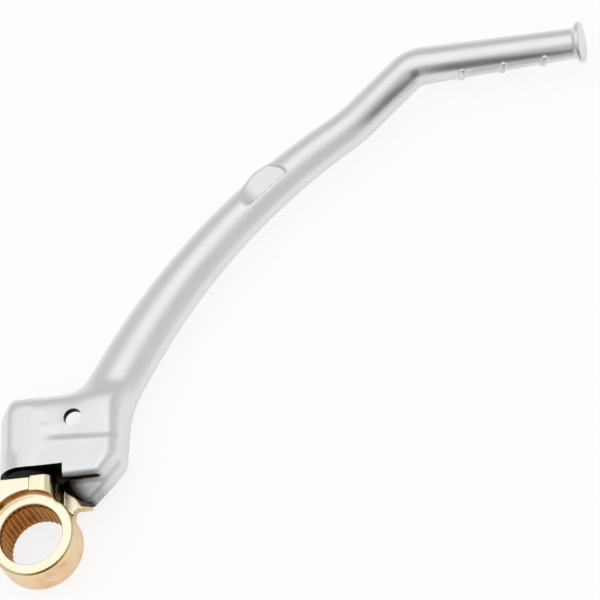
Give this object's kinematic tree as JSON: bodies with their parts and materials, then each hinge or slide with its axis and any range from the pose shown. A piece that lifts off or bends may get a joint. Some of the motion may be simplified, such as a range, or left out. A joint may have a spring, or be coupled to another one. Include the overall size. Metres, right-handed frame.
{
  "type": "kick start lever",
  "caption": "Folding kick start lever: a forged aluminium arm with a ribbed foot pedal, hinged on a yellow-zinc steel knuckle with a splined bore.",
  "frame": {"origin": "on the spline axis, at the knuckle's back face", "axes": "+Z along the kick shaft, away from the engine; +Y along the fold axis, towards the arm; +X the way the pedal points while folded"},
  "size_m": [0.2141, 0.1918, 0.02],
  "materials": {
    "zinc_plated_steel": "yellow-passivated zinc plating over forged steel",
    "forged_aluminium": "satin, shot-blasted and tumbled forging",
    "bronze": "turned bearing bronze",
    "bright_steel": "ground bright steel",
    "spring_steel": "oiled spring steel",
    "black_rubber": "moulded nitrile rubber"
  },
  "bodies": {
    "knuckle": {"knuckle": "zinc_plated_steel", "thrust_washer": "bright_steel", "dust_seal": "black_rubber", "top_washer": "bright_steel", "circlip": "spring_steel"},
    "lever": {"lever_arm": "forged_aluminium", "lower_bush": "bronze", "upper_bush": "bronze", "access_plug": "bright_steel", "detent_spring": "spring_steel"},
    "detent": {"detent_ball": "bright_steel"}
  },
  "joints": [
    {"name": "lever_fold", "type": "hinge", "parent": "knuckle", "child": "lever", "pos_m": [-0.0025, 0, 0.01], "axis": [0, -1, 0], "range_deg": [0, 60]},
    {"name": "ball_lift", "type": "slide", "parent": "lever", "child": "detent", "axis": [1, 0, 0], "range_m": [-0.0005, 0.0006], "stiffness_N_per_m": 800, "springref_m": -0.004, "deforming": ["detent_spring"]}
  ]
}
